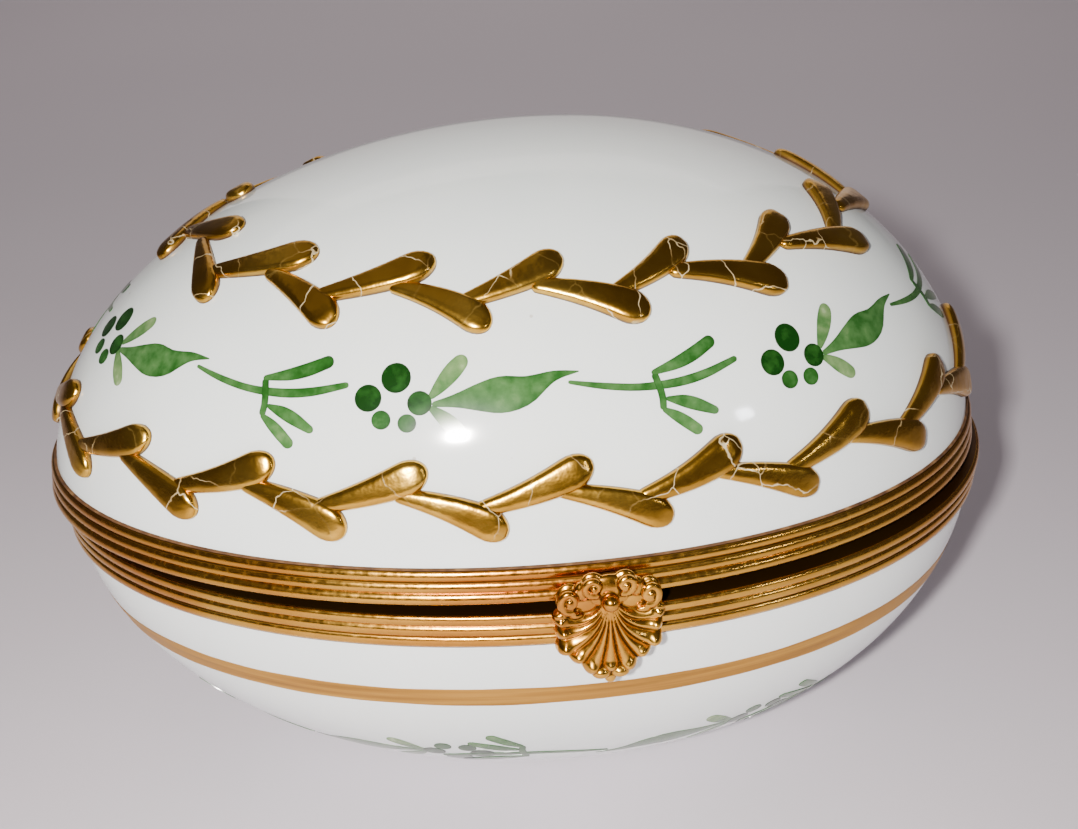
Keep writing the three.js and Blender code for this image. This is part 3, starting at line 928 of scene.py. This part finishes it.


# Burnished gold on raised paste. It is a deep old gold with a bright polish that mirrors the
# room, and it is crossed by pale hairline cracks. Round its foot, in the crease against the
# glaze, it is painted dark brown, less metallic and rougher, as painted shade.
burnished_gold, tree, shader, where = new_finish("burnished_raised_gold")
foot = add_node(tree, "ShaderNodeAttribute", {}, attribute_name="foot").outputs["Fac"]
tints = add_node(tree, "ShaderNodeTexNoise", {"Vector": where, "Scale": 1 / (6 * mm), "Detail": 3})
old_gold = add_node(
    tree, "ShaderNodeValToRGB", {"Fac": tints.outputs["Fac"]},
    stops=[(0.3, "#a67a28"), (0.5, "#c69636"), (0.7, "#dcb048")],
)
# Painted shade: the crease at each leaf's foot turns dark brown, less metallic and rougher.
shade = add_node(
    tree, "ShaderNodeMapRange",
    {"Value": foot, "From Min": 0.3, "From Max": 0.85, "To Min": 0, "To Max": 0.95},
)
foot_shaded = add_node(
    tree, "ShaderNodeMix",
    {0: shade.outputs[0], 6: old_gold.outputs["Color"], 7: from_hex("#3f220a")},
    data_type="RGBA",
)
wander = add_node(
    tree, "ShaderNodeTexNoise", {"Vector": where, "Scale": 1 / (1.4 * mm), "Detail": 2}
)
strayed = add_node(
    tree, "ShaderNodeVectorMath",
    {0: wander.outputs["Color"], 1: (1.1 * mm, 1.1 * mm, 1.1 * mm), 2: where},
    operation="MULTIPLY_ADD",
)
cracks = add_node(
    tree, "ShaderNodeTexVoronoi", {"Vector": strayed.outputs[0], "Scale": 1 / (5 * mm)},
    feature="DISTANCE_TO_EDGE",
)
hairline = add_node(
    tree, "ShaderNodeMapRange",
    {"Value": cracks.outputs["Distance"], "From Min": 0.004, "From Max": 0.012,
     "To Min": 1, "To Max": 0},
)
patchy = add_node(
    tree, "ShaderNodeMapRange",
    {"Value": tints.outputs["Fac"], "From Min": 0.44, "From Max": 0.54,
     "To Min": 0.85, "To Max": 0.1},
)
crack = add_node(
    tree, "ShaderNodeMath", {0: hairline.outputs[0], 1: patchy.outputs[0]}, operation="MULTIPLY"
)
crazed = add_node(
    tree, "ShaderNodeMix",
    {0: crack.outputs[0], 6: foot_shaded.outputs[2], 7: from_hex("#d9c9a2")},
    data_type="RGBA",
)
tree.links.new(crazed.outputs[2], shader.inputs["Base Color"])
dulled = add_node(
    tree, "ShaderNodeMath", {0: crack.outputs[0], 1: shade.outputs[0]}, operation="MAXIMUM"
)
metal_share = add_node(
    tree, "ShaderNodeMapRange",
    {"Value": dulled.outputs[0], "From Min": 0, "From Max": 1, "To Min": 1, "To Max": 0.3},
)
tree.links.new(metal_share.outputs[0], shader.inputs["Metallic"])
duller_in_shaded_foot = add_node(
    tree, "ShaderNodeMapRange",
    {"Value": shade.outputs[0], "From Min": 0, "From Max": 1, "To Min": 0.24, "To Max": 0.5},
)
tree.links.new(duller_in_shaded_foot.outputs[0], shader.inputs["Roughness"])
paste = add_node(
    tree, "ShaderNodeTexNoise", {"Vector": where, "Scale": 1 / (1.8 * mm), "Detail": 3}
)
trailed = add_node(
    tree, "ShaderNodeBump", {"Height": paste.outputs["Fac"], "Strength": 0.6, "Distance": 0.16 * mm}
)
tree.links.new(trailed.outputs["Normal"], shader.inputs["Normal"])

leaf = trailed_leaf()
for node_name, chain in garlands.items():
    garland = trail_garland(node_name, **chain)
    give(garland, burnished_gold)
    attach(garland, "lid")
    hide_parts(node_name)
bpy.data.objects.remove(leaf)


# ---- Bezel on the lid ----
# The same drawn brass moulding as the bowl's, a little narrower, bedded on the lid's rim with
# the same cement.

lid_bezel = turned_round_egg("lid_reeded_bezel", bezel_section(lid_form))
mark_hollows_and_gap_shade(lid_bezel, 1)
set_on_lid(lid_bezel)
give(lid_bezel, gilt_brass)
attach(lid_bezel, "lid")
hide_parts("lid_bezel")

lid_line = cement_line("lid_cement_line", lid_form)
set_on_lid(lid_line)
give(lid_line, cement)
give(frame["nodes"]["lid_bedding"], cement)
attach(lid_line, "lid")


# ---- Hinge ----
# Five brass knuckles, three soldered to the bowl's leaf and two to the lid's, on one brass pin
# that is peened over at both ends. Each leaf is soldered to the back of its bezel.

knuckle_radius = 1.25 * mm
knuckle_bore = 0.62 * mm
solder_foot_depth = 1.14 * mm
solder_foot_height = 1.2 * mm
pin_radius = 0.5 * mm
pin_head = 0.6 * mm


def softened(piece, width):
    """Rounds a metal piece's edges and marks where dirt gathers on it."""
    shape_with(
        piece, "BEVEL", width=width, segments=3, limit_method="ANGLE", angle_limit=math.radians(30)
    )
    pick(piece)
    bpy.ops.object.shade_smooth_by_angle(angle=math.radians(35))
    piece.select_set(False)
    mark_hollows_and_gap_shade(piece, 1)
    give(piece, gilt_brass)


def from_cad(name, node):
    """A new piece from a copy of a CAD mesh, its loose triangles merged into flat faces."""
    copy = add_piece(name, frame["nodes"][node].data.copy())
    pick(copy)
    edit_all()
    bpy.ops.mesh.remove_doubles(threshold=0.002 * mm)
    bpy.ops.mesh.customdata_custom_splitnormals_clear()
    bpy.ops.mesh.dissolve_limited(angle_limit=math.radians(1))
    bpy.ops.object.mode_set(mode="OBJECT")
    copy.select_set(False)
    return copy


for body in ("bowl", "lid"):
    hinge_leaf = from_cad(f"{body}_soldered_leaf", f"{body}_hinge_leaf")
    softened(hinge_leaf, 0.12 * mm)
    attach(hinge_leaf, body)
    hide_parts(f"{body}_hinge_leaf")

for index in range(1, 6):
    body = "lid" if index % 2 == 0 else "bowl"
    side = 1 if body == "lid" else -1
    low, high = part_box(f"{body}_hinge_knuckle_{index}")
    bpy.ops.mesh.primitive_cylinder_add(
        vertices=48, radius=knuckle_radius, depth=high.x - low.x,
        rotation=(0, math.pi / 2, 0), location=((low.x + high.x) / 2, 0, 0),
    )
    knuckle = bpy.context.object
    knuckle.name = f"{body}_knuckle_{index}"
    bpy.ops.object.transform_apply(location=True, rotation=True, scale=True)
    bpy.ops.mesh.primitive_cube_add(
        size=1, location=((low.x + high.x) / 2, -0.68 * mm, side * 0.9 * mm),
        scale=(high.x - low.x, solder_foot_depth, solder_foot_height),
    )
    solder_foot = bpy.context.object
    bpy.ops.mesh.primitive_cylinder_add(
        vertices=32, radius=knuckle_bore, depth=2 * (high.x - low.x),
        rotation=(0, math.pi / 2, 0), location=((low.x + high.x) / 2, 0, 0),
    )
    drill = bpy.context.object
    shape_with(knuckle, "BOOLEAN", object=solder_foot, operation="UNION", solver="EXACT")
    shape_with(knuckle, "BOOLEAN", object=drill, operation="DIFFERENCE", solver="EXACT")
    bpy.data.objects.remove(solder_foot)
    bpy.data.objects.remove(drill)
    softened(knuckle, 0.08 * mm)
    hung = Matrix.Translation(hinge_line)
    knuckle.data.transform(hung @ ajar if body == "lid" else hung)
    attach(knuckle, body)
    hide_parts(f"{body}_hinge_knuckle_{index}")

pin_low, pin_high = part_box("hinge_pin")
bpy.ops.mesh.primitive_cylinder_add(
    vertices=32, radius=pin_radius, depth=pin_high.x - pin_low.x - 2 * pin_head,
    rotation=(0, math.pi / 2, 0), location=(pin_low + pin_high) / 2,
)
pin = bpy.context.object
pin.name = "peened_hinge_pin"
bpy.ops.object.transform_apply(location=True, rotation=True, scale=True)
for side in (-1, 1):
    select_faces(pin, lambda middle, normal: normal.x * side > 0.9)
    end = (pin_low + pin_high) / 2 + Vector((side * (pin_high.x - pin_low.x) / 2, 0, 0))
    bpy.ops.mesh.extrude_region_move()
    bpy.ops.transform.resize(value=(1, 1.8, 1.8), center_override=end)
    for step, width in ((0.25, 1), (0.2, 0.85), (0.15, 0.6)):
        bpy.ops.mesh.extrude_region_move(TRANSFORM_OT_translate={"value": (side * step * mm, 0, 0)})
        bpy.ops.transform.resize(value=(1, width, width), center_override=end)
    bpy.ops.object.mode_set(mode="OBJECT")
pick(pin)
bpy.ops.object.shade_smooth_by_angle(angle=math.radians(50))
pin.select_set(False)
mark_hollows_and_gap_shade(pin, 1)
give(pin, gilt_brass)
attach(pin, "bowl")
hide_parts("hinge_pin")


# ---- Clasp pad ----
# A small block of brass soldered to the front of the lid's bezel. The clasp is soldered to it
# in turn, and hides it.

pad = from_cad("solder_pad", "clasp_pad")
pad_low, pad_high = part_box("clasp_pad")
pick(pad)
edit_all()
bpy.ops.transform.resize(
    value=(0.6, 1, 0.7), center_override=((pad_low.x + pad_high.x) / 2, pad_high.y, pad_low.z)
)
bpy.ops.object.mode_set(mode="OBJECT")
softened(pad, 0.1 * mm)
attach(pad, "lid")
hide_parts("clasp_pad")


# ---- Clasp ----
# A scallop shell with a fan of curved ribs, two pairs of scrolls and a round ball. It is one
# thin casting in gilt brass, chased by hand, and it springs over the peg on the bowl.

# Shaped in millimetres: x to the right and z up from the middle of its top edge, its back at
# y = 0 and its front towards -y.
clasp_joint = next(joint for joint in frame["joints"] if joint["name"] == "clasp_spring")
ball_drop = 2.65
ribs = 11
fan_spread = math.radians(164)
hub_drop = 0.75  # from the ball's middle down to where the ribs start


def ribbed_fan():
    """The fan, a grid bent round the ball, its ribs rising towards a lobed and curled edge."""
    bpy.ops.mesh.primitive_grid_add(x_subdivisions=ribs * 12, y_subdivisions=48, size=1)
    fan = bpy.context.object
    grid = places_of(fan)
    reach = grid[:, 1] + 0.5
    swing = grid[:, 0] * 2
    rib = ribs * (grid[:, 0] + 0.5)
    crest = np.abs(np.sin(np.pi * rib)) ** 0.75
    final = swing * fan_spread / 2
    length = 3.85 + 3.05 * np.cos(final) ** 1.1
    length = length - 0.4 * (1 - crest) + 0.2 * np.cos(np.pi * (rib - 0.5))
    angle = final * (0.12 + 0.88 * reach ** 0.9)
    radius = (length - 0.6) * reach
    x = 0.6 * np.sin(final) + radius * np.sin(angle)
    z = -ball_drop - hub_drop * np.cos(final) - radius * np.cos(angle)
    rounded = np.sqrt(np.clip(1 - np.clip((reach - 0.9) / 0.1, 0, 1) ** 2, 0, 1))
    curl = 0.24 * np.exp(-((reach - 0.88) / 0.06) ** 2)
    dome = 0.95 + 0.3 * np.cos(swing * 1.3) * (1 - 0.6 * reach)
    rib_height = (0.16 + 0.42 * reach ** 0.6) * crest
    front = (dome + rib_height - 0.35 + curl * crest) * (0.25 + 0.75 * rounded)
    move_to(fan, np.stack([x, -front, z], axis=1))
    edit_all()
    bpy.ops.mesh.extrude_region_move()
    bpy.ops.transform.resize(value=(1, 0, 1), center_override=(0, 0, 0))
    bpy.ops.mesh.select_all(action="SELECT")
    bpy.ops.mesh.normals_make_consistent(inside=False)
    bpy.ops.object.mode_set(mode="OBJECT")
    return fan


def scroll(x, z, radius, side, turns, thick, tall):
    """A volute, a tapering wire that curls in to a small ball."""
    path = bpy.data.curves.new("scroll", "CURVE")
    path.dimensions = "3D"
    path.bevel_depth = 1
    path.bevel_resolution = 3
    path.use_fill_caps = True
    steps = 40
    spline = path.splines.new("POLY")
    spline.points.add(steps)
    for step, point in enumerate(spline.points):
        share = step / steps
        angle = math.radians(-120) + share * turns * 2 * math.pi
        curl = radius * (1 - 0.72 * share)
        across = side * curl * math.cos(angle)
        point.co = (x + across, -0.8 - 0.35 * share, z + tall * curl * math.sin(angle), 1)
        point.radius = thick * (1 - 0.35 * share)
    pick(add_piece("scroll", path))
    bpy.ops.object.convert(target="MESH")
    return bpy.context.object


def bead(x, y, z, radius, squash=(1, 1, 1)):
    """A round bead."""
    bpy.ops.mesh.primitive_uv_sphere_add(
        segments=24, ring_count=16, radius=radius, location=(x, y, z), scale=squash
    )
    bpy.ops.object.transform_apply(location=True, rotation=True, scale=True)
    return bpy.context.object


parts = [ribbed_fan()]
for side in (-1, 1):
    parts.append(scroll(side * 1.3, -1.3, 0.82, side, 1.15, 0.4, 1))
    parts.append(scroll(side * 3.25, -2.4, 0.8, side, 1.2, 0.42, 1.3))
    parts.append(bead(side * 1.3, -0.35, -1.3, 1.0, (1, 0.4, 1)))
    parts.append(bead(side * 3.2, -0.35, -2.45, 1.1, (1, 0.4, 1.25)))
    parts.append(bead(side * 2.15, -0.6, -1.75, 0.8, (0.9, 0.6, 1.1)))
    parts.append(bead(side * 1.9, -0.3, -2.9, 1.2, (1.2, 0.4, 1)))
    parts.append(bead(side * 1.3, -1.2, -1.3, 0.27))
    parts.append(bead(side * 3.25, -1.2, -2.4, 0.3, (1, 1, 1.3)))
    parts.append(bead(side * 3.95, -0.85, -3.7, 0.42, (1.3, 0.8, 0.8)))
    parts.append(bead(side * 2.75, -0.85, -3.75, 0.4, (1.5, 0.8, 0.7)))
    parts.append(bead(side * 0.78, -0.75, -ball_drop - 6.75, 0.78, (1.05, 0.9, 0.75)))
parts.append(bead(0, -0.4, -2.1, 1.7, (1.2, 0.35, 0.9)))
parts.append(bead(0, -1.35, -ball_drop, 0.74))
parts.append(bead(0, -0.6, -ball_drop - 7.35, 0.5, (1, 0.9, 1.25)))
clasp = joined("cast_scallop_clasp", parts)
shape_with(clasp, "REMESH", mode="VOXEL", voxel_size=0.065, use_smooth_shade=True)
shape_with(clasp, "SMOOTH", factor=0.5, iterations=3)
mark_hollows_and_gap_shade(clasp, 6)
clasp_place = Matrix.Translation(Vector(clasp_joint["pos_m"])) @ ajar
clasp.data.transform(clasp_place @ Matrix.Scale(mm, 4))
give(clasp, gilt_brass)
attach(clasp, "clasp")
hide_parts("clasp_shell")


# ---- Table, light and camera ----
# The box stands on a plain pale table. The main light comes from the front, a little to the
# left and above. Weaker ones light the right, the top, the table beyond, and the back.

bpy.ops.mesh.primitive_plane_add(size=3, location=(0, 0, 0))
table = bpy.context.object
table.name = "table"
bpy.ops.object.mode_set(mode="EDIT")
bpy.ops.mesh.subdivide(number_cuts=8)
bpy.ops.object.mode_set(mode="OBJECT")
table.select_set(False)

# Painted board, matt and nearly even, with a very faint lilac cast.
board, tree, shader, where = new_finish("matt_painted_board")
cast = add_node(tree, "ShaderNodeTexNoise", {"Vector": where, "Scale": 4, "Detail": 2})
pale = add_node(
    tree, "ShaderNodeValToRGB", {"Fac": cast.outputs["Fac"]},
    stops=[(0.3, "#d0c9d2"), (0.7, "#d8d1d9")],
)
tree.links.new(pale.outputs["Color"], shader.inputs["Base Color"])
shader.inputs["Roughness"].default_value = 0.7
give(table, board)

middle = Vector((0, 0, meeting))


def soft_light(name, place, aim, size, power, colour):
    """A square light that faces a place."""
    bpy.ops.object.light_add(type="AREA", location=place)
    light = bpy.context.object
    light.name = name
    light.data.size = size
    light.data.energy = power
    light.data.color = from_hex(colour)[:3]
    light.rotation_euler = (Vector(aim) - Vector(place)).to_track_quat("-Z", "Y").to_euler()
    light.select_set(False)


soft_light("key", (-0.05, -0.171, 0.121), middle, 0.009, 0.88, "#fffaf4")
soft_light("side", (0.3, -0.34, 0.2), middle, 0.03, 0.16, "#f2f4ff")
soft_light("above", (-0.2, 0.1, 0.6), middle, 0.5, 0.15, "#fff4ea")
soft_light("backdrop", (0, 0.35, 0.35), (0, 0.55, 0), 0.4, 0.3, "#fff4f0")
soft_light("behind", (0.15, 0.85, 0.4), middle, 0.9, 1.8, "#fff4f0")

world = bpy.data.worlds.new("room")
bpy.context.scene.world = world
world.use_nodes = True
world.node_tree.nodes["Background"].inputs["Color"].default_value = from_hex("#b3a9ae")
world.node_tree.nodes["Background"].inputs["Strength"].default_value = 0.17

azimuth = math.radians(-7.52)
elevation = math.radians(26.16)
roll = math.radians(-1.95)
distance = 151.34 * mm
aim_right = 1.234 * mm
aim_up = 1.891 * mm
back = Vector((math.sin(azimuth) * math.cos(elevation), -math.cos(azimuth) * math.cos(elevation),
               math.sin(elevation)))
right = Vector((math.cos(azimuth), math.sin(azimuth), 0))
up = back.cross(right)
seat = middle + right * aim_right + up * aim_up + back * distance
rolled_right = right * math.cos(roll) + up * math.sin(roll)
rolled_up = up * math.cos(roll) - right * math.sin(roll)
bpy.ops.object.camera_add()
camera = bpy.context.object
camera.data.lens = 50.95
camera.data.clip_start = 0.01
turned = Matrix((rolled_right, rolled_up, back)).transposed().to_4x4()
camera.matrix_world = Matrix.Translation(seat) @ turned
camera.select_set(False)
bpy.context.scene.camera = camera
